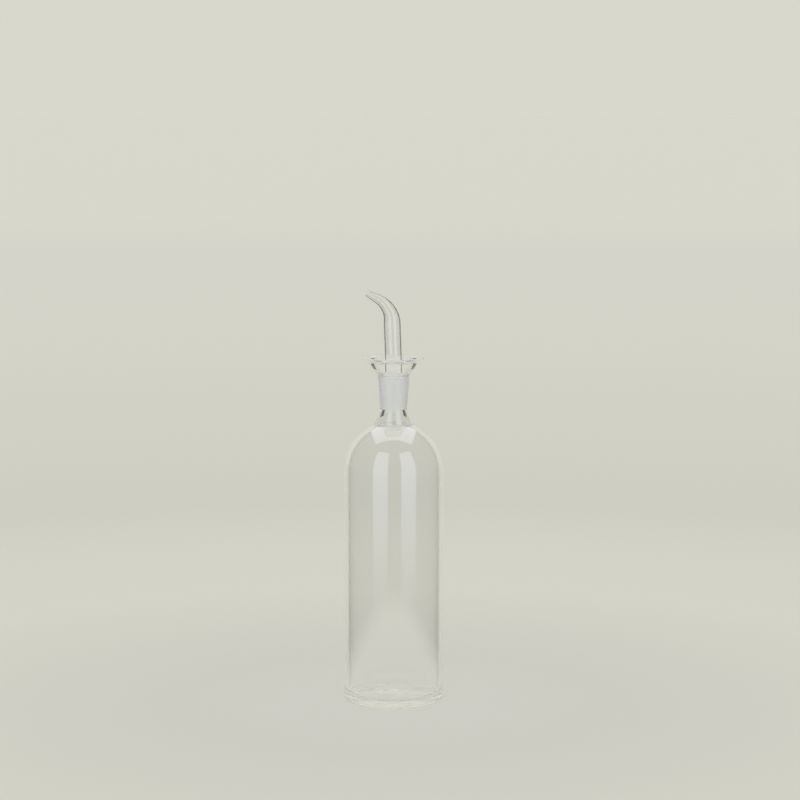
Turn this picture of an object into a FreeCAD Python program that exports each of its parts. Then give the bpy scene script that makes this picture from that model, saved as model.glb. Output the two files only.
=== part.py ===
"""An oil cruet of clear borosilicate glass, in two pieces.

The bottle is a straight cylinder with a round shoulder and a short neck. The
neck's mouth is a tapered, ground socket. The pourer is a hollow ground plug, a
flared cup that catches drips, and a tube that rises out of the cup, bends over
and narrows to a small mouth. The cruet is empty and stands on its base.

All sizes are in millimetres and degrees. Z is up, the axis of the bottle is
X = Y = 0, the table is Z = 0, and the spout pours towards -X.
"""

import FreeCAD, Part
import math
import os

# Bottle: body and base
BODY_RADIUS = 32.5
BODY_WALL = 3.0
BODY_SIDE_HEIGHT = 152.7        # table to where the round shoulder begins
BASE_CORNER_RADIUS = 4.4
FLOOR_THICKNESS = 3.6
FLOOR_CORNER_RADIUS = 5.0
STANDING_RING_WIDTH = 1.4       # the flat ring that meets the table
STANDING_RING_FILLET = 1.0
PUNT_HEIGHT = 1.3               # how far the underside rises inside that ring
DIMPLE_RADIUS = 9.0             # the small raised middle of the base
DIMPLE_TOP_RADIUS = 4.5
DIMPLE_HEIGHT = 1.2
DIMPLE_FILLET = 6.0

# Bottle: neck
NECK_FOOT_RADIUS = 12.9         # outside, where the neck meets the shoulder
NECK_FOOT_WALL = 2.0
NECK_FLARE_HEIGHT = 9.6         # shoulder to the lower end of the ground socket
FOOT_BLEND = 2.6                # how far the neck's foot spreads on the shoulder
FOOT_FILLET = 3.5
WAIST_RISE = 1.0                # outside, the waist is this far above the socket's end
WAIST_FILLET = 6.0

# Ground joint
JOINT_MOUTH_RADIUS = 9.1        # the socket's bore at the rim
JOINT_LENGTH = 22.9
JOINT_TAPER = 0.072             # change of radius for each millimetre of height
JOINT_CLEARANCE = 0.08          # between plug and socket, on the radius
SOCKET_WALL = 1.55
RIM_OUTER_FILLET = 0.7
RIM_INNER_FILLET = 0.35

# Pourer: plug
PLUG_WALL = 1.8
PLUG_SHORT_OF_SOCKET = 0.3      # the plug ends this far above the socket's end
PLUG_END_FILLET = 0.6
THROAT_RISE = 3.2               # height over which the hollow narrows to the spout
THROAT_FILLET = 2.0

# Pourer: drip cup
CUP_ABOVE_RIM = 0.6             # air between the bottle's rim and the cup
CUP_FOOT_OVERHANG = 1.6         # how far the cup's foot stands out from the plug
CUP_FOOT_FILLET = 1.0
CUP_NECK_FILLET = 0.4           # where the plug meets the cup's foot
CUP_HEIGHT = 11.3
CUP_RIM_RADIUS = 19.8
CUP_BOWL_HEIGHT = 6.0           # the lower bowl, below the steeper lip
CUP_BOWL_FILLET = 6.0
CUP_LIP_FLARE = 3.2             # how far the rim stands out from the bowl
CUP_LIP_WIDTH = 1.4             # the flat top of the rolled lip
CUP_LIP_THICKNESS = 1.3
CUP_LIP_FILLET = 0.6
CUP_MOUTH_INSET = 4.4            # from the rim in to where the flared lip drops into the bowl
CUP_MOUTH_DROP = 1.9            # how far that edge lies below the rim
CUP_MOUTH_FILLET = 1.2
CUP_WAIST_INSET = 2.2            # from there in to where the steep bowl turns to the floor
CUP_WAIST_RISE = 3.2            # height of that turn above the floor
CUP_WAIST_FILLET = 3.0
CUP_WALL = 1.6
CUP_FLOOR_THICKNESS = 1.9
CUP_FLOOR_FILLET = 1.8

# Pourer: spout
SPOUT_RADIUS = 5.65
SPOUT_WALL = 2.05
SPOUT_UPRIGHT = 1.0             # upright glass above the floor's fillet
SPOUT_STRAIGHT_HEIGHT = 32.5    # the cup's floor to where the spout bends over
SPOUT_LEAN = 2.0                # how far the rising tube leans
SPOUT_LEAN_RADIUS = 150.0
SPOUT_BEND_RADIUS = 17.5
SPOUT_BEND = 60.0               # how far the tube turns over
NOZZLE_LENGTH = 8.2             # bend to tip
TIP_RADIUS = 2.0
TIP_BORE_RADIUS = 0.95

UP = FreeCAD.Vector(0, 0, 1)
ORIGIN = FreeCAD.Vector(0, 0, 0)
LARGEST_FILLET_SHARE = 0.45     # of the shorter side that a fillet rounds


def at(point):
    """The point (radius, height) as a vector in the X-Z plane."""
    return FreeCAD.Vector(point[0], 0, point[1])


def circle_height(radius, centre_height, distance):
    """Height of the upper half of a circle on the axis, at a distance from it."""
    return centre_height + math.sqrt(radius ** 2 - distance ** 2)


def tangent_height(radius, centre_height, touch, distance):
    """Height, at a distance from the axis, of the line that touches the circle at touch."""
    touch_height = circle_height(radius, centre_height, touch)
    slope = touch / (touch_height - centre_height)
    return touch_height + (touch - distance) * slope


def radius_on_line(lower, upper, height):
    """Radius at a height, on the straight line between two points."""
    share = (height - lower[1]) / (upper[1] - lower[1])
    return lower[0] + share * (upper[0] - lower[0])


def rounded_edges(corners):
    """Edges through corners, each given as (radius, height) or (radius, height, fillet).

    A corner without a fillet stays sharp.
    """
    edges = []
    start = at(corners[0])
    for before, corner, after in zip(corners, corners[1:], corners[2:]):
        here = at(corner)
        if len(corner) == 2:
            edges.append(Part.LineSegment(start, here).toShape())
            start = here
            continue
        to_before = at(before) - here
        to_after = at(after) - here
        half_angle = to_before.getAngle(to_after) / 2
        room = LARGEST_FILLET_SHARE * min(to_before.Length, to_after.Length)
        reach = min(corner[2] / math.tan(half_angle), room)
        to_before.normalize()
        to_after.normalize()
        bisector = (to_before + to_after).normalize()
        middle = here + bisector * (reach / math.cos(half_angle) - reach * math.tan(half_angle))
        arc_start = here + to_before * reach
        arc_end = here + to_after * reach
        edges.append(Part.LineSegment(start, arc_start).toShape())
        edges.append(Part.Arc(arc_start, middle, arc_end).toShape())
        start = arc_end
    edges.append(Part.LineSegment(start, at(corners[-1])).toShape())
    return edges


def dome_edge(radius, centre_height, start, end):
    """Arc of a circle on the axis, between the distances start and end from it."""
    middle = (start + end) / 2
    points = [(r, circle_height(radius, centre_height, r)) for r in (start, middle, end)]
    return Part.Arc(*[at(p) for p in points]).toShape()


def turned(edges):
    """The solid that a closed outline makes when it turns round the axis."""
    return Part.Face(Part.Wire(Part.sortEdges(edges)[0])).revolve(ORIGIN, UP, 360)


# Bottle: sizes that follow from the ones above
inner_radius = BODY_RADIUS - BODY_WALL
foot_touch = NECK_FOOT_RADIUS + FOOT_BLEND
foot_z = tangent_height(BODY_RADIUS, BODY_SIDE_HEIGHT, foot_touch, NECK_FOOT_RADIUS)
inner_foot_radius = NECK_FOOT_RADIUS - NECK_FOOT_WALL
inner_touch = inner_foot_radius + FOOT_BLEND
inner_foot_z = tangent_height(inner_radius, BODY_SIDE_HEIGHT, inner_touch, inner_foot_radius)
socket_end_z = foot_z + NECK_FLARE_HEIGHT
socket_end_radius = JOINT_MOUTH_RADIUS - JOINT_TAPER * JOINT_LENGTH
rim_z = socket_end_z + JOINT_LENGTH

# Pourer: sizes that follow from the ones above
plug_end_z = socket_end_z + PLUG_SHORT_OF_SOCKET
cup_foot_z = rim_z + CUP_ABOVE_RIM
cup_floor_z = cup_foot_z + CUP_FLOOR_THICKNESS
cup_top_z = cup_foot_z + CUP_HEIGHT
spout_bore_radius = SPOUT_RADIUS - SPOUT_WALL
lean_z = cup_floor_z + CUP_FLOOR_FILLET + SPOUT_UPRIGHT
bend_z = cup_floor_z + SPOUT_STRAIGHT_HEIGHT


def plug_radius(height):
    """Outer radius of the ground plug: the socket's bore, less the clearance."""
    return socket_end_radius + JOINT_TAPER * (height - socket_end_z) - JOINT_CLEARANCE


def make_bottle():
    """The bottle, turned from an outline that goes up its outside and down its inside."""
    ring_outer = BODY_RADIUS - BASE_CORNER_RADIUS
    outer_dimple_z = PUNT_HEIGHT + DIMPLE_HEIGHT
    inner_dimple_z = outer_dimple_z + FLOOR_THICKNESS
    outside = rounded_edges([
        (0, outer_dimple_z),
        (DIMPLE_TOP_RADIUS, outer_dimple_z, DIMPLE_FILLET),
        (DIMPLE_RADIUS, PUNT_HEIGHT, DIMPLE_FILLET),
        (ring_outer - STANDING_RING_WIDTH, 0, STANDING_RING_FILLET),
        (BODY_RADIUS, 0, BASE_CORNER_RADIUS),
        (BODY_RADIUS, BODY_SIDE_HEIGHT),
    ])
    shoulder = dome_edge(BODY_RADIUS, BODY_SIDE_HEIGHT, BODY_RADIUS, foot_touch)
    neck = rounded_edges([
        (foot_touch, circle_height(BODY_RADIUS, BODY_SIDE_HEIGHT, foot_touch)),
        (NECK_FOOT_RADIUS, foot_z, FOOT_FILLET),
        (socket_end_radius + SOCKET_WALL, socket_end_z + WAIST_RISE, WAIST_FILLET),
        (JOINT_MOUTH_RADIUS + SOCKET_WALL, rim_z, RIM_OUTER_FILLET),
        (JOINT_MOUTH_RADIUS, rim_z, RIM_INNER_FILLET),
        (socket_end_radius, socket_end_z, WAIST_FILLET),
        (inner_foot_radius, inner_foot_z, FOOT_FILLET),
        (inner_touch, circle_height(inner_radius, BODY_SIDE_HEIGHT, inner_touch)),
    ])
    inner_shoulder = dome_edge(inner_radius, BODY_SIDE_HEIGHT, inner_touch, inner_radius)
    inside = rounded_edges([
        (inner_radius, BODY_SIDE_HEIGHT),
        (inner_radius, FLOOR_THICKNESS, FLOOR_CORNER_RADIUS),
        (DIMPLE_RADIUS, FLOOR_THICKNESS + PUNT_HEIGHT, DIMPLE_FILLET),
        (DIMPLE_TOP_RADIUS, inner_dimple_z, DIMPLE_FILLET),
        (0, inner_dimple_z),
        (0, outer_dimple_z),
    ])
    return turned(outside + [shoulder] + neck + [inner_shoulder] + inside)


def arc_towards_spout(start, heading, radius, angle):
    """An arc from start that turns towards -X from its heading, and the point where it ends."""
    centre = start - FreeCAD.Vector(math.cos(heading), 0, math.sin(heading)) * radius
    middle, end = [
        centre + FreeCAD.Vector(math.cos(turn), 0, math.sin(turn)) * radius
        for turn in (heading + angle / 2, heading + angle)
    ]
    return Part.Arc(start, middle, end).toShape(), end


def pipe(path, start, end, start_radius, end_radius):
    """A round solid along the path. Its start and end are each a point and a direction."""
    shell = Part.BRepOffsetAPI.MakePipeShell(path)
    for (centre, direction), radius in ((start, start_radius), (end, end_radius)):
        shell.add(Part.Wire(Part.Circle(centre, direction, radius).toShape()))
    shell.build()
    shell.makeSolid()
    return shell.shape()


def make_spout(radius, tip_radius):
    """The round solid of the spout: an even tube to the bend, then narrowing to the tip."""
    lean = math.radians(SPOUT_LEAN)
    turn = math.radians(SPOUT_BEND)
    foot = FreeCAD.Vector(0, 0, lean_z)
    lean_arc, lean_end = arc_towards_spout(foot, 0, SPOUT_LEAN_RADIUS, lean)
    rise = FreeCAD.Vector(-math.sin(lean), 0, math.cos(lean))
    bend_start = lean_end + rise * ((bend_z - lean_end.z) / rise.z)
    bend_arc, bend_end = arc_towards_spout(bend_start, lean, SPOUT_BEND_RADIUS, turn)
    pour = FreeCAD.Vector(-math.sin(lean + turn), 0, math.cos(lean + turn))
    tip = bend_end + pour * NOZZLE_LENGTH
    rising = Part.Wire([lean_arc, Part.LineSegment(lean_end, bend_start).toShape()])
    pouring = Part.Wire([bend_arc, Part.LineSegment(bend_end, tip).toShape()])
    tube = pipe(rising, (foot, UP), (bend_start, rise), radius, radius)
    nozzle = pipe(pouring, (bend_start, rise), (tip, pour), radius, tip_radius)
    return [tube, nozzle]


def make_pourer():
    """The plug, the drip cup and the spout, as one solid with a bore from end to end."""
    cup_foot = (plug_radius(cup_foot_z) + CUP_FOOT_OVERHANG, cup_foot_z)
    bowl_top = (CUP_RIM_RADIUS - CUP_LIP_FLARE, cup_foot_z + CUP_BOWL_HEIGHT)
    mouth_radius = CUP_RIM_RADIUS - CUP_MOUTH_INSET
    floor_radius = radius_on_line(cup_foot, bowl_top, cup_floor_z) - CUP_WALL
    outline = rounded_edges([
        (0, plug_end_z),
        (plug_radius(plug_end_z), plug_end_z, PLUG_END_FILLET),
        (plug_radius(cup_foot_z), cup_foot_z, CUP_NECK_FILLET),
        (*cup_foot, CUP_FOOT_FILLET),
        (*bowl_top, CUP_BOWL_FILLET),
        (CUP_RIM_RADIUS, cup_top_z - CUP_LIP_THICKNESS, CUP_LIP_FILLET),
        (CUP_RIM_RADIUS, cup_top_z, CUP_LIP_FILLET),
        (CUP_RIM_RADIUS - CUP_LIP_WIDTH, cup_top_z, CUP_LIP_FILLET),
        (mouth_radius, cup_top_z - CUP_MOUTH_DROP, CUP_MOUTH_FILLET),
        (mouth_radius - CUP_WAIST_INSET, cup_floor_z + CUP_WAIST_RISE, CUP_WAIST_FILLET),
        (floor_radius, cup_floor_z, CUP_FLOOR_FILLET),
        (SPOUT_RADIUS, cup_floor_z, CUP_FLOOR_FILLET),
        (SPOUT_RADIUS, lean_z),
        (0, lean_z),
        (0, plug_end_z),
    ])
    hollow_top_z = cup_foot_z - THROAT_RISE
    hollow = rounded_edges([
        (0, plug_end_z),
        (plug_radius(plug_end_z) - PLUG_WALL, plug_end_z),
        (plug_radius(hollow_top_z) - PLUG_WALL, hollow_top_z, THROAT_FILLET),
        (spout_bore_radius, cup_foot_z, THROAT_FILLET),
        (spout_bore_radius, lean_z),
        (0, lean_z),
        (0, plug_end_z),
    ])
    glass = turned(outline).fuse(make_spout(SPOUT_RADIUS, TIP_RADIUS))
    bore = turned(hollow).fuse(make_spout(spout_bore_radius, TIP_BORE_RADIUS))
    return glass.cut(bore).removeSplitter()


def save(name, shape):
    """Writes one piece as a STEP file, and prints what it holds."""
    shape.exportStep(os.path.join("parts", name + ".step"))
    box = shape.optimalBoundingBox()
    print(name, "solids", len(shape.Solids), "valid", shape.isValid(), "volume", round(shape.Volume, 1))
    print("  x", round(box.XMin, 2), round(box.XMax, 2), "z", round(box.ZMin, 2), round(box.ZMax, 2))


os.makedirs("parts", exist_ok=True)
save("bottle", make_bottle())
save("pourer", make_pourer())
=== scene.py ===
"""An oil cruet of clear borosilicate glass, with its floor, light and camera.

The bottle and the pourer are each one closed mesh of rings. The rings follow an
outline that goes up the outside of the glass and down its inside, so the walls
are as thick as the real ones and bend light as they do. Where the plug sits in
the neck the glass is ground, and has a material of its own.

Sizes are kept in metres. The axis of the bottle is the Z axis, the floor is
Z = 0, and the spout pours towards -X.
"""

import math

import bmesh
import bpy
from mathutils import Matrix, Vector


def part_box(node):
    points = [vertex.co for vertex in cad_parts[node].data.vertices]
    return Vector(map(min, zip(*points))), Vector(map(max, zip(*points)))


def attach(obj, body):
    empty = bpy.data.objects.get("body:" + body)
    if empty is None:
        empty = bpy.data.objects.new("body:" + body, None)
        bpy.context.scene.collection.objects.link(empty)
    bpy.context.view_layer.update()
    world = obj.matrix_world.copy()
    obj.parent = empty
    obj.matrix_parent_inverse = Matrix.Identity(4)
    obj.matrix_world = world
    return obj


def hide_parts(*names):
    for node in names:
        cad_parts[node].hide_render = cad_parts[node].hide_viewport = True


bl_info = {
    "name": "Oil Cruet",
    "version": (1, 0, 0),
    "blender": (4, 5, 0),
    "location": "3D View > Sidebar > Oil Cruet",
    "description": "Builds a glass oil cruet with a ground joint, and a plain stage",
    "category": "Add Mesh",
}

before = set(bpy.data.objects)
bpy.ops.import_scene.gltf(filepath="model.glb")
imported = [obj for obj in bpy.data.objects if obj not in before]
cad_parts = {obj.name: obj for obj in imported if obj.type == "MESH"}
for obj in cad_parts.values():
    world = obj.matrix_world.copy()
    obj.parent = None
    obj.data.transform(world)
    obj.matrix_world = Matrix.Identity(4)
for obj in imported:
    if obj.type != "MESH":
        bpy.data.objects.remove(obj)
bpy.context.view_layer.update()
BOTTLE_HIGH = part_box("bottle")[1]
POURER_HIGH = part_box("pourer")[1]

MM = 0.001
DEGREE = math.radians(1)

# How near is near enough
TINY = 0.001 * MM               # a shorter run, or a ring with a smaller radius, is a point
ON_TAPER = 0.05 * MM            # a strip this near the joint's taper lies on it
ON_FOOT = 0.1 * MM              # a strip this near the cup's foot lies on it
RIM_TOLERANCE = 0.1 * MM        # between the drawn rim and the frame's

# How fine the meshes are
SEGMENTS = 192                  # vertices in each ring
ARC_STEP = 4 * DEGREE           # between two rings on a fillet
DOME_STEP = 1.5 * DEGREE        # between two rings on the round shoulder
BEAD_STEP = 15 * DEGREE         # between two rings on the melted tip
HOLD = 0.25 * MM                # a ring this near a fillet's end keeps the wall beside it flat
LARGEST_FILLET_SHARE = 0.45     # of the shorter side that a fillet rounds

# Bottle: fillets and small steps
RING_FILLET = 1.0 * MM          # inner edge of the standing ring
DIMPLE_FILLET = 6.0 * MM
FOOT_FILLET = 3.5 * MM          # where the neck meets the shoulder
WAIST_RISE = 1.0 * MM           # outside, the waist is this far above the socket's end
WAIST_FILLET = 6.0 * MM
RIM_OUTER_FILLET = 0.7 * MM
RIM_INNER_FILLET = 0.35 * MM
RIM_GROUND = 0.6 * MM           # how far down the rim's own face is ground
# The bend's dark line is painted shade, a dark tone in the glass's colour.
BEND_LENGTH = 5.0 * MM          # how far the bend's dark line runs down from the socket's end

# Pourer: fillets and small steps
PLUG_SHORT_OF_SOCKET = 0.3 * MM  # the plug ends this far above the socket's end
PLUG_INNER_FILLET = 0.4 * MM
PLUG_END_FILLET = 0.6 * MM
PLUG_GROUND_START = 0.5 * MM    # the plug is ground from this far above its end
THROAT_RISE = 3.2 * MM          # height over which the hollow narrows to the spout
THROAT_FILLET = 2.0 * MM
CUP_ABOVE_RIM = 0.6 * MM        # air between the bottle's rim and the cup
CUP_FOOT_OVERHANG = 1.6 * MM    # how far the cup's foot stands out from the plug
CUP_FOOT_FILLET = 1.0 * MM
CUP_NECK_FILLET = 0.4 * MM      # where the plug meets the cup's foot
CUP_BOWL_HEIGHT = 6.0 * MM      # the lower bowl, below the steeper lip
CUP_BOWL_FILLET = 6.0 * MM
CUP_LIP_FLARE = 3.2 * MM        # how far the rim stands out from the bowl
CUP_LIP_WIDTH = 1.4 * MM        # the flat top of the rolled lip
CUP_LIP_THICKNESS = 1.3 * MM
CUP_LIP_FILLET = 0.6 * MM
CUP_MOUTH_INSET = 4.4 * MM      # from the rim in to where the flared lip drops into the bowl
CUP_MOUTH_DROP = 1.9 * MM       # how far that edge lies below the rim
CUP_MOUTH_FILLET = 1.2 * MM
CUP_WAIST_INSET = 2.2 * MM      # from there in to where the steep bowl turns to the floor
CUP_WAIST_RISE = 3.2 * MM       # height of that turn above the floor
CUP_WAIST_FILLET = 3.0 * MM
CUP_FLOOR_THICKNESS = 1.9 * MM
CUP_FLOOR_FILLET = 1.8 * MM
SPOUT_UPRIGHT = 2.8 * MM        # the tube is upright this far above the cup's floor
SPOUT_LEAN_RADIUS = 150.0 * MM
TIP_BEAD = 0.3 * MM             # how far the tip is melted round

# The stage, in metres
FLOOR_HALF_WIDTH = 20.0
PANEL_AZIMUTHS = {"panel_left": -31 * DEGREE, "panel_right": 35 * DEGREE}  # from the front
PANEL_DISTANCE = 1.3            # bottle's axis to an upright softbox
PANEL_HEIGHT = 0.68             # floor to the middle of an upright softbox
PANEL_SIZE = (0.82, 1.74)
PANEL_FADE = 0.09               # share of its height over which its foot fades out
ABOVE_PLACE = (0, 0.62, 1.4)    # the softbox overhead, over the floor behind the cruet
ABOVE_SIZE = (1.66, 1.65)
LAMP_COLOUR = (0.92, 0.95, 1.2)  # a little cooler than the backdrop

GLASS_IOR = 1.474               # borosilicate glass
GLASS_BOUNCES = 128             # how many surfaces a ray may meet in it

# The material slots of both pieces. All are the same glass, told apart by how it shows, mostly by
# painted shade: dark lines painted into its colour where a wall is seen edge on. The slots are the
# outside of the body, walls with no line of their own, the inside of the body with the corner
# of its base, the sharp bend under the socket, the cup's bowl, the thick tube and the ground joint.
BODY, CLEAR, WALL, BEND, BOWL, TUBE, GROUND = range(7)


# Properties


def length(name, millimetres, description):
    """A length property whose default is given in millimetres."""
    return bpy.props.FloatProperty(
        name=name,
        description=description,
        default=millimetres * MM,
        min=0.0,
        precision=5,
        subtype="DISTANCE",
    )


def angle(name, degrees, description):
    """An angle property whose default is given in degrees."""
    return bpy.props.FloatProperty(
        name=name,
        description=description,
        default=degrees * DEGREE,
        subtype="ANGLE",
    )


def number(name, value, description, highest=1.0, subtype="NONE"):
    """A number property from zero to highest."""
    return bpy.props.FloatProperty(
        name=name,
        description=description,
        default=value,
        min=0.0,
        max=highest,
        precision=4,
        subtype=subtype,
    )


def linear(colour):
    """The linear RGB values of an sRGB hex colour such as '#D2D2C7'."""
    values = [int(colour[i : i + 2], 16) / 255 for i in (1, 3, 5)]
    return [v / 12.92 if v <= 0.04045 else ((v + 0.055) / 1.055) ** 2.4 for v in values]


def colour(name, value, description):
    """A colour property whose default is given in sRGB hex."""
    return bpy.props.FloatVectorProperty(
        name=name,
        description=description,
        default=linear(value),
        size=3,
        min=0.0,
        max=1.0,
        subtype="COLOR",
    )


class CruetBottleSettings(bpy.types.PropertyGroup):
    """Sizes of the bottle."""

    body_radius: length("Body radius", BOTTLE_HIGH.x / MM, "Outside radius of the straight body")
    body_wall: length("Body wall", 3.0, "Thickness of the body's wall")
    side_height: length("Side height", 152.7, "Floor to where the round shoulder begins")
    base_corner: length("Base corner", 4.4, "Radius of the outer corner at the base")
    floor_thickness: length("Floor thickness", 3.6, "Thickness of the glass in the base")
    floor_corner: length("Floor corner", 5.0, "Radius of the inner corner at the base")
    ring_width: length("Standing ring", 1.4, "Width of the flat ring that meets the table")
    punt_height: length("Punt height", 1.3, "How far the underside rises inside the ring")
    dimple_radius: length("Dimple radius", 9.0, "Radius of the raised middle of the base")
    dimple_height: length("Dimple height", 1.2, "How far the middle of the base is raised")
    neck_foot_radius: length("Neck foot radius", 12.9, "Outside, where neck meets shoulder")
    neck_foot_wall: length("Neck foot wall", 2.0, "Wall where the neck meets the shoulder")
    flare_height: length("Flare height", 9.6, "Shoulder to the lower end of the socket")
    foot_blend: length("Foot blend", 2.6, "How far the neck's foot spreads on the shoulder")
    socket_wall: length("Socket wall", 1.55, "Wall of the neck round the ground socket")
    ground_depth: length("Ground depth", 22.2, "How far the socket is ground, down from the rim")


class CruetPourerSettings(bpy.types.PropertyGroup):
    """Sizes of the ground joint, the drip cup and the spout."""

    mouth_radius: length("Socket mouth radius", 9.1, "Radius of the socket's bore at the rim")
    joint_length: length("Joint length", 22.9, "Length of the tapered joint")
    joint_taper: number("Joint taper", 0.072, "Change of radius for each unit of height")
    clearance: length("Clearance", 0.08, "Air between plug and socket, on the radius")
    plug_wall: length("Plug wall", 1.8, "Thickness of the hollow plug's wall")
    cup_radius: length("Cup rim radius", POURER_HIGH.x / MM, "Radius of the drip cup's rim")
    cup_height: length("Cup height", 11.3, "Foot to rim of the drip cup")
    cup_wall: length("Cup wall", 1.6, "Thickness of the drip cup's wall")
    spout_radius: length("Spout radius", 5.65, "Outside radius of the rising tube")
    spout_wall: length("Spout wall", 2.05, "Thickness of the rising tube's wall")
    spout_height: length("Spout height", 32.5, "The cup's floor to where the spout bends")
    spout_lean: angle("Spout lean", 2.0, "How far the rising tube leans")
    bend_radius: length("Bend radius", 17.5, "Radius of the spout's bend")
    bend: angle("Bend", 60.0, "How far the tube turns over")
    nozzle_length: length("Nozzle length", 8.2, "Bend to tip")
    tip_radius: length("Tip radius", 2.0, "Outside radius at the tip")
    tip_bore: length("Tip bore", 0.95, "Radius of the hole at the tip")


class CruetGlassSettings(bpy.types.PropertyGroup):
    """Colours and finish of the glass, with the colours of its painted dark lines (painted shade).
    """

    # Painted shade: the next three colours darken the glass where a wall is seen edge on.
    bend_painted_shade: colour("Bend colour", "#0C0B05", "Line where a sharply bent wall is edge on")
    tube_painted_shade: colour("Tube colour", "#2C2A12", "Line down each side of the thick tube")
    wall_painted_shade: colour("Wall colour", "#B4B18C", "Line down each side of the body")
    clear_colour: colour("Clear colour", "#FFFFFF", "Tint of one passage through a surface")
    ground_colour: colour("Ground colour", "#E9EBEC", "Tint of the ground surfaces")
    ground_roughness: number(
        "Ground roughness", 0.42, "How much the ground surfaces blur", subtype="FACTOR"
    )


class CruetStageSettings(bpy.types.PropertyGroup):
    """The floor, the light and the camera."""

    backdrop_colour: colour("Backdrop colour", "#D8D8CC", "The far backdrop")
    ambient: number("Ambient", 1.0, "Light from all round on matt surfaces", 4.0)
    studio_level: number("Studio level", 0.25, "How bright the studio is in reflections", 4.0)
    panel_power: number("Panel power", 3.6, "Power of each upright softbox", 5000.0, "POWER")
    above_power: number("Overhead power", 7.0, "Power of the softbox above", 5000.0, "POWER")
    camera_distance: length("Camera distance", 1810.0, "Level distance from the bottle's axis")
    camera_height: length("Camera height", 416.0, "Camera above the floor")
    camera_pitch: angle("Camera pitch", 6.84, "How far the camera looks down")
    camera_yaw: angle("Camera yaw", 0.132, "How far the camera turns to the right")
    lens: number(
        "Lens", 125.64, "Focal length on a 36 mm sensor", 1000.0, subtype="DISTANCE_CAMERA"
    )


# Outlines and meshes


def rounded(corners):
    """Points of an outline through corners (radius, height) or (radius, height, fillet)."""
    points = [Vector(corners[0][:2])]
    for before, corner, after in zip(corners, corners[1:], corners[2:]):
        here = Vector(corner[:2])
        if len(corner) == 2:
            points.append(here)
            continue
        to_before = Vector(before[:2]) - here
        to_after = Vector(after[:2]) - here
        half = to_before.angle(to_after) / 2
        room = LARGEST_FILLET_SHARE * min(to_before.length, to_after.length)
        reach = min(corner[2] / math.tan(half), room)
        to_before.normalize()
        to_after.normalize()
        radius = reach * math.tan(half)
        centre = here + (to_before + to_after).normalized() * (radius / math.sin(half))
        spoke = here + to_before * reach - centre
        sweep = spoke.angle_signed(here + to_after * reach - centre)
        steps = max(3, math.ceil(abs(sweep) / ARC_STEP))
        for step in range(steps + 1):
            turn = -sweep * step / steps
            cosine, sine = math.cos(turn), math.sin(turn)
            turned = Vector((spoke.x * cosine - spoke.y * sine, spoke.x * sine + spoke.y * cosine))
            points.append(centre + turned)
    points.append(Vector(corners[-1][:2]))
    return points


def held(points):
    """The same outline, with points added near both ends of each long straight run."""
    result = [points[0]]
    for start, end in zip(points, points[1:]):
        run = end - start
        if run.length > 4 * HOLD:
            along = run.normalized() * HOLD
            result += [start + along, end - along]
        if run.length > TINY:
            result.append(end)
    return result


def dome(radius, centre_height, start, end):
    """Points on a circle round the axis, between the distances start and end from it."""
    first, last = math.acos(start / radius), math.acos(end / radius)
    steps = math.ceil(abs(last - first) / DOME_STEP)
    turns = [first + (last - first) * step / steps for step in range(1, steps)]
    return [
        Vector((radius * math.cos(turn), centre_height + radius * math.sin(turn)))
        for turn in turns
    ]


def circle_height(radius, centre_height, distance):
    """Height of the upper half of a circle on the axis, at a distance from it."""
    return centre_height + math.sqrt(radius**2 - distance**2)


def tangent_height(radius, centre_height, touch, distance):
    """Height, at a distance from the axis, of the line that touches the circle at touch."""
    touch_height = circle_height(radius, centre_height, touch)
    return touch_height + (touch - distance) * touch / (touch_height - centre_height)


def turned_rings(points):
    """Level rings round the axis through an outline's points."""
    return [(Vector((0, 0, height)), 0.0, radius) for radius, height in points]


def ring_point(ring, turn):
    """The point of a ring (centre, tilt towards -X, radius) at an angle round it."""
    centre, tilt, radius = ring
    across = Vector((math.cos(tilt), 0, math.sin(tilt)))
    return centre + radius * (math.cos(turn) * across + math.sin(turn) * Vector((0, 1, 0)))


def strip_middle(start, end):
    """Radius and height half-way between two rings."""
    return (start[2] + end[2]) / 2, (start[0].z + end[0].z) / 2


def make_piece(name, rings, slot_of, closed=False):
    """A smooth mesh object through rings. slot_of(start, end) is the material slot of a strip.

    Where it isn't closed, its first and last rings are single points on the axis.
    """
    shape = bmesh.new()
    turns = [2 * math.pi * i / SEGMENTS for i in range(SEGMENTS)]
    loops = []
    for ring in rings:
        around = turns if ring[2] > TINY else [0.0]
        loops.append([shape.verts.new(ring_point(ring, turn)) for turn in around])
    if closed:
        loops.append(loops[0])
        rings = rings + [rings[0]]
    for lower, upper, start, end in zip(loops, loops[1:], rings, rings[1:]):
        slot = slot_of(start, end)
        for i in range(SEGMENTS):
            j = (i + 1) % SEGMENTS
            corners = [lower[i % len(lower)], lower[j % len(lower)]]
            corners += [upper[j % len(upper)], upper[i % len(upper)]]
            # Beside a single point, two corners are the same vertex.
            face = shape.faces.new(list(dict.fromkeys(corners)))
            face.material_index = slot
            face.smooth = True
    bmesh.ops.recalc_face_normals(shape, faces=shape.faces)
    mesh = bpy.data.meshes.new(name)
    shape.to_mesh(mesh)
    shape.free()
    piece = bpy.data.objects.new(name, mesh)
    bpy.context.collection.objects.link(piece)
    return piece


# Materials


def add_node(tree, kind, inputs=None, **settings):
    """Adds a node with its settings. An input is a value, or a socket that it is linked to."""
    node = tree.nodes.new("ShaderNode" + kind)
    for name, value in settings.items():
        setattr(node, name, value)
    for name, value in (inputs or {}).items():
        if isinstance(value, bpy.types.NodeSocket):
            tree.links.new(value, node.inputs[name])
        else:
            node.inputs[name].default_value = value
    return node


def new_material(name):
    """An empty node material, and its tree and output node."""
    material = bpy.data.materials.get(name) or bpy.data.materials.new(name)
    material.use_nodes = True
    material.node_tree.nodes.clear()
    tree = material.node_tree
    return material, tree, tree.nodes.new("ShaderNodeOutputMaterial")


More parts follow.
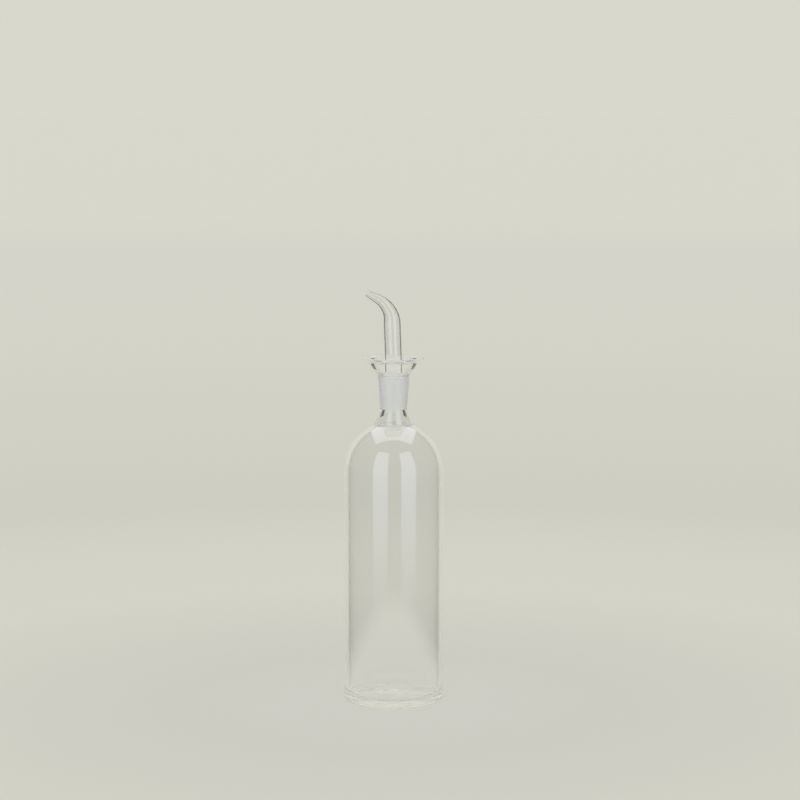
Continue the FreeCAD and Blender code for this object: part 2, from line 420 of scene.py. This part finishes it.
def set_stops(ramp, stops):
    """Gives a colour ramp its stops, each a position and a linear colour."""
    while len(ramp.elements) < len(stops):
        ramp.elements.new(0.5)
    for element, (position, shade) in zip(ramp.elements, stops):
        element.position = position
        element.color = (*shade, 1)


def let_lamps_through(tree, output, glass, share):
    """Puts glass on the output, so that lamps and matt surfaces see through it unbent.

    Without this, a clear piece would throw a solid shadow. share is how much of the
    light comes through, a trace less of it in the blue.
    """
    path = add_node(tree, "LightPath")
    passes = add_node(
        tree,
        "Math",
        {0: path.outputs["Is Shadow Ray"], 1: path.outputs["Is Diffuse Ray"]},
        operation="MAXIMUM",
    )
    blue = share * 0.995
    through = add_node(tree, "BsdfTransparent", {"Color": (share, share, blue, 1)})
    mixed = add_node(
        tree, "MixShader", {0: passes.outputs[0], 1: glass.outputs[0], 2: through.outputs[0]}
    )
    tree.links.new(mixed.outputs[0], output.inputs["Surface"])


def clear_glass(settings, name, line=None, tone=None, gloss=False):
    """Clear borosilicate glass, drawn as tube and worked in a flame.

    It shows the eye almost no colour, painted dark lines where a wall is seen edge on,
    and a slight unevenness from the flame and the drawing. The lines are painted shade,
    a dark tone in the glass's colour that stands in for light thrown aside to where the
    studio is dark. line gives how nearly edge on a wall is where its line begins, where
    it is darkest and, if it ends short of the outline, where it ends. gloss is for a thin
    round wall, whose front then mirrors the studio for the surfaces behind it too.
    """
    material, tree, output = new_material(name)
    place = add_node(tree, "TexCoord").outputs["Object"]
    # Flame-worked glass swells and thins by some hundredths of a millimetre over about 14 mm.
    swell = add_node(tree, "TexNoise", {"Vector": place, "Scale": 1 / (14 * MM), "Detail": 1.0})
    # The drawing leaves upright lines, 2 mm apart round the tube, 50 times as long and far
    # shallower than the swell.
    shallow = 0.06
    stretched = add_node(tree, "Mapping", {"Vector": place, "Scale": (1.0, 1.0, 0.02)})
    drawn = add_node(
        tree, "TexNoise", {"Vector": stretched.outputs[0], "Scale": 1 / (2 * MM), "Detail": 0.0}
    )
    uneven = add_node(
        tree,
        "Math",
        {0: drawn.outputs["Fac"], 1: shallow, 2: swell.outputs["Fac"]},
        operation="MULTIPLY_ADD",
    )
    bump = add_node(
        tree, "Bump", {"Height": uneven.outputs[0], "Strength": 0.35, "Distance": 0.05 * MM}
    )
    # Painted shade: how nearly edge on a wall is sets a dark tone in the glass's colour, standing
    # in for light that grazes a wall and is thrown aside, to where the studio is dark.
    facing = add_node(tree, "LayerWeight", {"Blend": 0.5}).outputs["Facing"]
    glass = add_node(
        tree,
        "BsdfPrincipled",
        {
            "Base Color": (*settings.clear_colour, 1),
            "Roughness": 0.0,
            "IOR": GLASS_IOR,
            "Transmission Weight": 1.0,
            "Normal": bump.outputs[0],
        },
    )
    if line:
        # Painted shade: a dark tone in the glass's colour where the wall is nearly edge on.
        painted_edge_shade = add_node(tree, "ValToRGB", {"Fac": facing})
        painted_edge_shade.color_ramp.interpolation = "EASE"
        tones = (settings.clear_colour, tone, settings.clear_colour)
        set_stops(painted_edge_shade.color_ramp, list(zip(line, tones)))
        tree.links.new(painted_edge_shade.outputs["Color"], glass.inputs["Base Color"])
    if gloss:
        face_on = add_node(
            tree,
            "MapRange",
            {"Value": facing, "From Min": 0.68, "From Max": 0.52},
            interpolation_type="SMOOTHSTEP",
        )
        # A ray that leaves through the far wall meets the back of that surface, not its gloss.
        back = add_node(tree, "NewGeometry").outputs["Backfacing"]
        outside = add_node(tree, "Math", {0: 1.0, 1: back}, operation="SUBTRACT")
        front = add_node(
            tree, "Math", {0: face_on.outputs[0], 1: outside.outputs[0]}, operation="MULTIPLY"
        )
        tree.links.new(front.outputs[0], glass.inputs["Coat Weight"])
        glass.inputs["Coat IOR"].default_value = 2.0
        glass.inputs["Coat Roughness"].default_value = 0.1
    let_lamps_through(tree, output, glass, share=0.99)
    return material


def ground_glass(settings):
    """Borosilicate glass ground with fine grit, as in a tapered laboratory joint.

    It shows the eye a soft white band with no view through it.
    """
    material, tree, output = new_material("borosilicate_glass_ground")
    place = add_node(tree, "TexCoord").outputs["Object"]
    # The grit leaves pits of about 0.05 mm, too fine to show, so they are drawn 0.3 mm wide.
    pits = add_node(tree, "TexNoise", {"Vector": place, "Scale": 1 / (0.3 * MM), "Detail": 2.0})
    # The plug is turned against the grit, which leaves faint level bands about 1.2 mm apart.
    flat = add_node(tree, "Mapping", {"Vector": place, "Scale": (0.05, 0.05, 1.0)})
    bands = add_node(
        tree, "TexNoise", {"Vector": flat.outputs[0], "Scale": 1 / (1.2 * MM), "Detail": 1.0}
    )
    spread = 0.06  # between a band's roughness and the mean
    worn = add_node(
        tree,
        "MapRange",
        {
            "Value": bands.outputs["Fac"],
            "To Min": settings.ground_roughness - spread,
            "To Max": settings.ground_roughness + spread,
        },
    )
    bump = add_node(
        tree, "Bump", {"Height": pits.outputs["Fac"], "Strength": 0.3, "Distance": 0.04 * MM}
    )
    # Painted shade: the sides of the joint, which turn away from the light, are painted a little
    # darker in the glass's colour.
    facing = add_node(tree, "LayerWeight", {"Blend": 0.5}).outputs["Facing"]
    painted_side_shade_level = 0.72
    aside = [painted_side_shade_level * part for part in settings.ground_colour]
    shade = add_node(tree, "ValToRGB", {"Fac": facing})
    shade.color_ramp.interpolation = "EASE"
    set_stops(shade.color_ramp, [(0.12, settings.ground_colour), (0.4, aside)])
    glass = add_node(
        tree,
        "BsdfPrincipled",
        {
            "Base Color": shade.outputs["Color"],
            "Roughness": worn.outputs[0],
            "IOR": GLASS_IOR,
            "Transmission Weight": 0.25,
            "Normal": bump.outputs[0],
        },
    )
    let_lamps_through(tree, output, glass, share=0.93)
    return material


def backdrop_paper():
    """Matt seamless paper of a plain pale tone, with painted shade: a little darker near the cruet
    and in a ring behind.
    """
    material, tree, output = new_material("backdrop_paper_matt")
    place = add_node(tree, "TexCoord").outputs["Object"]
    # Painted shade: the paper's colour is a little darker near the cruet and in a ring behind, in
    # tones that run outwards from the bottle's axis, and the last is reached 6 m away.
    away = add_node(tree, "VectorMath", {0: place}, operation="LENGTH")
    share = add_node(tree, "MapRange", {"Value": away.outputs["Value"], "From Max": 6.0})
    ramp = add_node(tree, "ValToRGB", {"Fac": share.outputs[0]})
    tones = [
        (0.0, "#D1D1C9"),
        (0.025, "#CECEC5"),
        (0.065, "#D5D5C9"),
        (0.10, "#D4D4C8"),
        (0.14, "#CFCFC4"),
        (0.2, "#D1D1C6"),
        (0.375, "#D4D4C9"),
        (0.75, "#D5D5CB"),
        (1.0, "#D8D8CC"),
    ]
    set_stops(ramp.color_ramp, [(position, linear(tone)) for position, tone in tones])
    paper = add_node(tree, "BsdfDiffuse", {"Color": ramp.outputs["Color"], "Roughness": 0.5})
    # Reflections show the paper round a spot in front of the cruet, and the studio past that.
    spot = (0.0, -0.15, 0.0)
    off = add_node(tree, "VectorMath", {0: place, 1: spot}, operation="DISTANCE")
    far = add_node(
        tree, "MapRange", {"Value": off.outputs["Value"], "From Min": 0.2, "From Max": 0.31}
    )
    path = add_node(tree, "LightPath")
    # A ray that has gone through clear glass counts as glossy too, so it is taken out again.
    mirrored = add_node(
        tree,
        "Math",
        {0: path.outputs["Is Glossy Ray"], 1: path.outputs["Is Transmission Ray"]},
        operation="SUBTRACT",
        use_clamp=True,
    )
    hidden = add_node(
        tree, "Math", {0: mirrored.outputs[0], 1: far.outputs[0]}, operation="MULTIPLY"
    )
    gone = add_node(tree, "BsdfTransparent")
    mixed = add_node(
        tree, "MixShader", {0: hidden.outputs[0], 1: paper.outputs[0], 2: gone.outputs[0]}
    )
    tree.links.new(mixed.outputs[0], output.inputs["Surface"])
    return material


# The pieces


def joint_radius(pourer, height, rim_height):
    """Radius of the socket's bore at a height."""
    return pourer.mouth_radius - pourer.joint_taper * (rim_height - height)


def build_bottle(bottle, pourer):
    """Makes the bottle's mesh, and gives it back with the height of the rim.

    Its rings go from the middle of the underside up the outside, over the rim, and
    down the inside to the middle of the floor.
    """
    ring_outer = bottle.body_radius - bottle.base_corner
    inner_radius = bottle.body_radius - bottle.body_wall
    side = bottle.side_height
    outer_dimple = bottle.punt_height + bottle.dimple_height
    inner_dimple = outer_dimple + bottle.floor_thickness
    dimple_top = bottle.dimple_radius / 2
    corner_top = bottle.floor_thickness + bottle.floor_corner
    touch = bottle.neck_foot_radius + bottle.foot_blend
    foot = tangent_height(bottle.body_radius, side, touch, bottle.neck_foot_radius)
    inner_foot_radius = bottle.neck_foot_radius - bottle.neck_foot_wall
    inner_touch = inner_foot_radius + bottle.foot_blend
    inner_foot = tangent_height(inner_radius, side, inner_touch, inner_foot_radius)
    socket_end = foot + bottle.flare_height
    rim = socket_end + pourer.joint_length
    socket_end_radius = joint_radius(pourer, socket_end, rim)
    ground_end = rim - bottle.ground_depth
    waist = socket_end + WAIST_RISE
    # A point part-way down the flare's inside, where the painted dark line (painted shade) of the
    # bend ends.
    bend_end = socket_end - BEND_LENGTH
    share = (socket_end - bend_end) / (socket_end - inner_foot)
    bend_end_radius = socket_end_radius + share * (inner_foot_radius - socket_end_radius)

    outside = rounded([
        (0, outer_dimple),
        (dimple_top, outer_dimple, DIMPLE_FILLET),
        (bottle.dimple_radius, bottle.punt_height, DIMPLE_FILLET),
        (ring_outer - bottle.ring_width, 0, RING_FILLET),
        (bottle.body_radius, 0, bottle.base_corner),
        (bottle.body_radius, side),
    ])
    shoulder = dome(bottle.body_radius, side, bottle.body_radius, touch)
    neck = rounded([
        (touch, circle_height(bottle.body_radius, side, touch)),
        (bottle.neck_foot_radius, foot, FOOT_FILLET),
        (socket_end_radius + bottle.socket_wall, waist, WAIST_FILLET),
        (pourer.mouth_radius + bottle.socket_wall, rim, RIM_OUTER_FILLET),
        (pourer.mouth_radius, rim, RIM_INNER_FILLET),
        (joint_radius(pourer, ground_end, rim), ground_end),
        (socket_end_radius, socket_end, WAIST_FILLET),
        (bend_end_radius, bend_end),
        (inner_foot_radius, inner_foot, FOOT_FILLET),
        (inner_touch, circle_height(inner_radius, side, inner_touch)),
    ])
    inner_shoulder = dome(inner_radius, side, inner_touch, inner_radius)
    inside = rounded([
        (inner_radius, side),
        (inner_radius, bottle.floor_thickness, bottle.floor_corner),
        (bottle.dimple_radius, bottle.floor_thickness + bottle.punt_height, DIMPLE_FILLET),
        (dimple_top, inner_dimple, DIMPLE_FILLET),
        (0, inner_dimple),
    ])
    rings = turned_rings(held(outside + shoulder + neck + inner_shoulder + inside))

    body_top = socket_end - 0.5 * MM
    # The inner shoulder's line is painted shade, a dark tone in the glass's colour.
    wall_edge = inner_touch + 2.0 * MM  # the inner shoulder shows a line from here outwards

    def slot_of(start, end):
        radius, height = strip_middle(start, end)
        on_bore = abs(radius - joint_radius(pourer, height, rim)) < ON_TAPER
        if (on_bore and height > ground_end) or height > rim - RIM_GROUND:
            return GROUND
        on_inside = end[0].z < start[0].z and height > bottle.floor_thickness
        if on_inside and height > bend_end:
            return BEND if height < waist else CLEAR
        if on_inside:
            return WALL if height > corner_top and radius > wall_edge else CLEAR
        # Painted shadow: the base's outer corner, beyond the standing ring, takes the wall's
        # painted dark line, standing in for the shade where the glass meets the floor.
        if 0 < height < bottle.base_corner and radius > ring_outer:
            return WALL
        return BODY if bottle.base_corner < height < body_top else CLEAR

    return make_piece("bottle_glass", rings, slot_of), rim


def spout_line(pourer, foot):
    """Stations (centre, tilt, distance) up the spout's middle line, and where its bend starts."""
    stations = [(foot.copy(), 0.0, 0.0)]

    def arc(radius, turn, steps):
        """Goes on along an arc towards -X."""
        centre, tilt, gone = stations[-1]
        pivot = centre - Vector((math.cos(tilt), 0, math.sin(tilt))) * radius
        for step in range(1, steps + 1):
            now = tilt + turn * step / steps
            point = pivot + Vector((math.cos(now), 0, math.sin(now))) * radius
            stations.append((point, now, gone + radius * turn * step / steps))

    def straight(distance, steps):
        """Goes straight on."""
        centre, tilt, gone = stations[-1]
        ahead = Vector((-math.sin(tilt), 0, math.cos(tilt)))
        for step in range(1, steps + 1):
            share = distance * step / steps
            stations.append((centre + ahead * share, tilt, gone + share))

    arc(SPOUT_LEAN_RADIUS, pourer.spout_lean, steps=4)
    rise = pourer.spout_height - (stations[-1][0].z - foot.z) - SPOUT_UPRIGHT
    straight(rise / math.cos(pourer.spout_lean), steps=14)
    bend_start = stations[-1][2]
    arc(pourer.bend_radius, pourer.bend, steps=30)
    straight(pourer.nozzle_length, steps=16)
    return stations, bend_start


def build_pourer(pourer, rim):
    """Makes the pourer's mesh, with rings up its outside to the tip and back down its bore."""
    socket_end = rim - pourer.joint_length
    plug_end = socket_end + PLUG_SHORT_OF_SOCKET
    cup_foot = rim + CUP_ABOVE_RIM
    cup_floor = cup_foot + CUP_FLOOR_THICKNESS
    cup_top = cup_foot + pourer.cup_height
    lean_start = cup_floor + SPOUT_UPRIGHT
    bore = pourer.spout_radius - pourer.spout_wall

    def plug(height):
        """Outer radius of the plug: the socket's bore, less the clearance."""
        return joint_radius(pourer, height, rim) - pourer.clearance

    foot_radius = plug(cup_foot) + CUP_FOOT_OVERHANG
    bowl_radius = pourer.cup_radius - CUP_LIP_FLARE
    bowl_top = cup_foot + CUP_BOWL_HEIGHT
    floor_share = (cup_floor - cup_foot) / (bowl_top - cup_foot)
    floor_radius = foot_radius + floor_share * (bowl_radius - foot_radius) - pourer.cup_wall
    mouth_radius = pourer.cup_radius - CUP_MOUTH_INSET
    hollow_top = cup_foot - THROAT_RISE
    hollow_radius = plug(plug_end) - pourer.plug_wall
    # The outline starts and ends here, part-way up the plug's hollow.
    seam = (hollow_radius, plug_end + 2.0 * MM)

    outside = rounded([
        seam,
        (hollow_radius, plug_end, PLUG_INNER_FILLET),
        (plug(plug_end), plug_end, PLUG_END_FILLET),
        (plug(cup_foot), cup_foot, CUP_NECK_FILLET),
        (foot_radius, cup_foot, CUP_FOOT_FILLET),
        (bowl_radius, bowl_top, CUP_BOWL_FILLET),
        (pourer.cup_radius, cup_top - CUP_LIP_THICKNESS, CUP_LIP_FILLET),
        (pourer.cup_radius, cup_top, CUP_LIP_FILLET),
        (pourer.cup_radius - CUP_LIP_WIDTH, cup_top, CUP_LIP_FILLET),
        (mouth_radius, cup_top - CUP_MOUTH_DROP, CUP_MOUTH_FILLET),
        (mouth_radius - CUP_WAIST_INSET, cup_floor + CUP_WAIST_RISE, CUP_WAIST_FILLET),
        (floor_radius, cup_floor, CUP_FLOOR_FILLET),
        (pourer.spout_radius, cup_floor, CUP_FLOOR_FILLET),
        (pourer.spout_radius, lean_start),
    ])
    hollow = rounded([
        (bore, lean_start),
        (bore, cup_foot, THROAT_FILLET),
        (plug(hollow_top) - pourer.plug_wall, hollow_top, THROAT_FILLET),
        seam,
    ])
    stations, bend_start = spout_line(pourer, Vector((0, 0, lean_start)))
    narrowing = stations[-1][2] - bend_start
    tip, tip_tilt, _ = stations[-1]
    ahead = Vector((-math.sin(tip_tilt), 0, math.cos(tip_tilt)))

    def spout_rings(radius, tip_radius):
        """Rings of the spout's outside or its bore, which narrow from the bend to the tip."""
        return [
            (centre, tilt, radius + (tip_radius - radius) * max(0.0, gone - bend_start) / narrowing)
            for centre, tilt, gone in stations[1:-1]
        ]

    def bead_rings(radius, side, turns):
        """Rings of the tip's round bead. side is -1 on its outside and 1 in the bore."""
        return [
            (
                tip + ahead * TIP_BEAD * (math.sin(turn) - 1),
                tip_tilt,
                radius + side * TIP_BEAD * (1 - math.cos(turn)),
            )
            for turn in turns
        ]

    quarter = [step * BEAD_STEP for step in range(7)]
    rings = turned_rings(held(outside))
    rings += spout_rings(pourer.spout_radius, pourer.tip_radius)
    rings += bead_rings(pourer.tip_radius, -1, quarter)
    rings += bead_rings(pourer.tip_bore, 1, reversed(quarter))
    rings += reversed(spout_rings(bore, pourer.tip_bore))
    rings += turned_rings(held(hollow))[:-1]

    ground_start = plug_end + PLUG_GROUND_START
    tube_start = cup_floor + 1.0 * MM
    tube_edge = pourer.spout_radius + 0.2 * MM
    # The bowl's dark line is painted shade, a dark tone in the glass's colour.
    line_low, line_high = cup_floor + 3.0 * MM, cup_top - 1.0 * MM  # of the bowl's dark line

    def slot_of(start, end):
        radius, height = strip_middle(start, end)
        on_plug = abs(radius - plug(height)) < ON_TAPER and height > ground_start
        if on_plug or abs(height - cup_foot) < ON_FOOT:
            return GROUND
        rising = end[0].z > start[0].z
        if rising and height > tube_start and radius < tube_edge:
            return TUBE
        in_bowl = line_low < height < line_high and radius > floor_radius
        return BOWL if in_bowl and not rising else CLEAR

    return make_piece("pourer_glass", rings, slot_of, closed=True)


def finish_glass(piece, node):
    """Gives a piece its glasses, in the order of the slots, and its place in the frame."""
    settings = bpy.context.scene.cruet_glass
    for glass in (
        clear_glass(settings, "borosilicate_glass_blown", gloss=True),
        clear_glass(settings, "borosilicate_glass_flamed"),
        # The next four glasses paint dark lines (painted shade) into their colour where a wall is
        # seen edge on.
        clear_glass(settings, "borosilicate_glass_inner_wall", (0.6, 1.0), settings.wall_painted_shade),
        clear_glass(settings, "borosilicate_glass_bent_wall", (0.35, 0.44), settings.bend_painted_shade),
        clear_glass(settings, "borosilicate_glass_bowl", (0.48, 0.56), settings.bend_painted_shade),
        clear_glass(
            settings,
            "borosilicate_glass_thick_tube",
            (0.32, 0.56, 0.95),
            settings.tube_painted_shade,
            gloss=True,
        ),
        ground_glass(settings),
    ):
        piece.data.materials.append(glass)
    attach(piece, "root")
    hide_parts(node)


class CruetBottle(bpy.types.Operator):
    """Builds the bottle with its ground socket"""

    bl_idname = "cruet.make_bottle"
    bl_label = "Make Bottle"

    def execute(self, context):
        scene = context.scene
        piece, rim = build_bottle(scene.cruet_bottle, scene.cruet_pourer)
        if abs(rim - BOTTLE_HIGH.z) > RIM_TOLERANCE:
            raise RuntimeError("the bottle's rim is not at the frame's height")
        finish_glass(piece, "bottle")
        return {"FINISHED"}


class CruetPourer(bpy.types.Operator):
    """Builds the pourer: ground plug, drip cup and spout"""

    bl_idname = "cruet.make_pourer"
    bl_label = "Make Pourer"

    def execute(self, context):
        piece = build_pourer(context.scene.cruet_pourer, BOTTLE_HIGH.z)
        finish_glass(piece, "pourer")
        return {"FINISHED"}


# The stage


def make_floor():
    """A very wide sheet of paper at Z = 0."""
    half = FLOOR_HALF_WIDTH
    mesh = bpy.data.meshes.new("floor")
    corners = [(-half, -half, 0), (half, -half, 0), (half, half, 0), (-half, half, 0)]
    mesh.from_pydata(corners, [], [(0, 1, 2, 3)])
    floor = bpy.data.objects.new("floor", mesh)
    bpy.context.collection.objects.link(floor)
    mesh.materials.append(backdrop_paper())


def make_world(settings):
    """The studio all round: backdrop to the camera and through glass, dimmer in reflections."""
    world = bpy.data.worlds.new("studio")
    world.use_nodes = True
    tree = world.node_tree
    tree.nodes.clear()
    output = tree.nodes.new("ShaderNodeOutputWorld")
    path = add_node(tree, "LightPath")
    sees = add_node(
        tree,
        "Math",
        {0: path.outputs["Is Camera Ray"], 1: path.outputs["Is Transmission Ray"]},
        operation="MAXIMUM",
    )
    ambient = add_node(tree, "Background", {"Color": (1, 1, 1, 1), "Strength": settings.ambient})
    backdrop_colour = (*settings.backdrop_colour, 1)
    backdrop = add_node(tree, "Background", {"Color": backdrop_colour})
    ahead = add_node(tree, "SeparateXYZ", {0: add_node(tree, "TexCoord").outputs["Generated"]})
    # Well below the horizon the studio is dark.
    low = add_node(
        tree,
        "MapRange",
        {
            "Value": ahead.outputs["Z"],
            "From Min": -0.2,
            "From Max": -0.16,
            "To Max": settings.studio_level,
        },
        interpolation_type="SMOOTHSTEP",
    )
    # Low down, the far side is the floor, a little darker than the backdrop.
    beyond = add_node(
        tree,
        "MapRange",
        {"Value": ahead.outputs["Z"], "From Min": -0.2, "From Max": -0.13, "To Min": 0.87},
        interpolation_type="SMOOTHSTEP",
    )
    # Reflections see the lit backdrop behind the cruet, and the dim studio on the other sides.
    level = add_node(
        tree,
        "MapRange",
        {
            "Value": ahead.outputs["Y"],
            "From Min": 0.5,
            "From Max": 0.8,
            "To Min": low.outputs[0],
            "To Max": beyond.outputs[0],
        },
        interpolation_type="SMOOTHSTEP",
    )
    studio = add_node(
        tree, "Background", {"Color": backdrop_colour, "Strength": level.outputs[0]}
    )
    lit = add_node(
        tree,
        "MixShader",
        {0: path.outputs["Is Glossy Ray"], 1: ambient.outputs[0], 2: studio.outputs[0]},
    )
    seen = add_node(
        tree, "MixShader", {0: sees.outputs[0], 1: lit.outputs[0], 2: backdrop.outputs[0]}
    )
    tree.links.new(seen.outputs[0], output.inputs["Surface"])
    bpy.context.scene.world = world


def make_softbox(name, place, target, size, power, fade=0.0):
    """A softbox that only reflections show, as a bright panel.

    fade is the share of its height over which its foot fades out.
    """
    data = bpy.data.lights.new(name, "AREA")
    data.shape = "RECTANGLE"
    data.size, data.size_y = size
    data.energy = power
    data.color = LAMP_COLOUR
    if fade:
        data.use_nodes = True
        tree = data.node_tree
        tree.nodes.clear()
        across = add_node(tree, "NewGeometry").outputs["Parametric"]
        up = add_node(tree, "SeparateXYZ", {0: across}).outputs["Y"]
        share = add_node(tree, "MapRange", {"Value": up, "From Max": fade})
        glow = add_node(tree, "Emission", {"Strength": share.outputs[0]})
        output = tree.nodes.new("ShaderNodeOutputLight")
        tree.links.new(glow.outputs[0], output.inputs["Surface"])
    lamp = bpy.data.objects.new(name, data)
    lamp.location = place
    lamp.rotation_euler = (Vector(target) - Vector(place)).to_track_quat("-Z", "Y").to_euler()
    lamp.visible_camera = False
    lamp.visible_transmission = False
    lamp.visible_diffuse = False
    bpy.context.collection.objects.link(lamp)


class CruetStage(bpy.types.Operator):
    """Builds the floor, the light and the camera"""

    bl_idname = "cruet.make_stage"
    bl_label = "Make Stage"

    def execute(self, context):
        scene = context.scene
        settings = scene.cruet_stage
        make_floor()
        make_world(settings)
        target = Vector((0, 0, PANEL_HEIGHT))
        for name, azimuth in PANEL_AZIMUTHS.items():
            direction = Vector((math.sin(azimuth), -math.cos(azimuth), 0))
            place = target + direction * PANEL_DISTANCE
            make_softbox(name, place, target, PANEL_SIZE, settings.panel_power, PANEL_FADE)
        below = (*ABOVE_PLACE[:2], 0)
        make_softbox("panel_above", ABOVE_PLACE, below, ABOVE_SIZE, settings.above_power)

        data = bpy.data.cameras.new("camera")
        data.lens = settings.lens
        data.clip_end = 100
        camera = bpy.data.objects.new("camera", data)
        camera.location = (0, -settings.camera_distance, settings.camera_height)
        camera.rotation_euler = (90 * DEGREE - settings.camera_pitch, 0, -settings.camera_yaw)
        bpy.context.collection.objects.link(camera)
        scene.camera = camera

        scene.view_settings.view_transform = "Standard"
        # A ray crosses up to a dozen glass surfaces here, and a wall can carry it far along
        # inside. Where it is cut short the glass turns black, as at the foot of the neck.
        scene.cycles.max_bounces = GLASS_BOUNCES
        scene.cycles.transmission_bounces = GLASS_BOUNCES
        scene.cycles.glossy_bounces = GLASS_BOUNCES
        scene.cycles.transparent_max_bounces = 32
        return {"FINISHED"}


class CruetPanel(bpy.types.Panel):
    """Lists the sizes and colours of the cruet and builds its parts"""

    bl_idname = "VIEW3D_PT_oil_cruet"
    bl_label = "Oil Cruet"
    bl_space_type = "VIEW_3D"
    bl_region_type = "UI"
    bl_category = "Oil Cruet"

    def draw(self, context):
        scene = context.scene
        groups = (
            (scene.cruet_bottle, CruetBottle.bl_idname),
            (scene.cruet_pourer, CruetPourer.bl_idname),
            (scene.cruet_glass, None),
            (scene.cruet_stage, CruetStage.bl_idname),
        )
        for settings, operator in groups:
            box = self.layout.box()
            for name in settings.__annotations__:
                box.prop(settings, name)
            if operator:
                box.operator(operator)


CLASSES = (
    CruetBottleSettings,
    CruetPourerSettings,
    CruetGlassSettings,
    CruetStageSettings,
    CruetBottle,
    CruetPourer,
    CruetStage,
    CruetPanel,
)
POINTERS = {
    "cruet_bottle": CruetBottleSettings,
    "cruet_pourer": CruetPourerSettings,
    "cruet_glass": CruetGlassSettings,
    "cruet_stage": CruetStageSettings,
}


def register():
    """Registers the classes, and gives each scene its settings."""
    for item in CLASSES:
        bpy.utils.register_class(item)
    for name, group in POINTERS.items():
        setattr(bpy.types.Scene, name, bpy.props.PointerProperty(type=group))


def unregister():
    """Takes the settings and the classes away again."""
    for name in POINTERS:
        delattr(bpy.types.Scene, name)
    for item in reversed(CLASSES):
        bpy.utils.unregister_class(item)


def main():
    """Builds the cruet and its stage."""
    register()
    bpy.ops.cruet.make_stage()
    bpy.ops.cruet.make_bottle()
    bpy.ops.cruet.make_pourer()


if __name__ == "__main__":
    main()
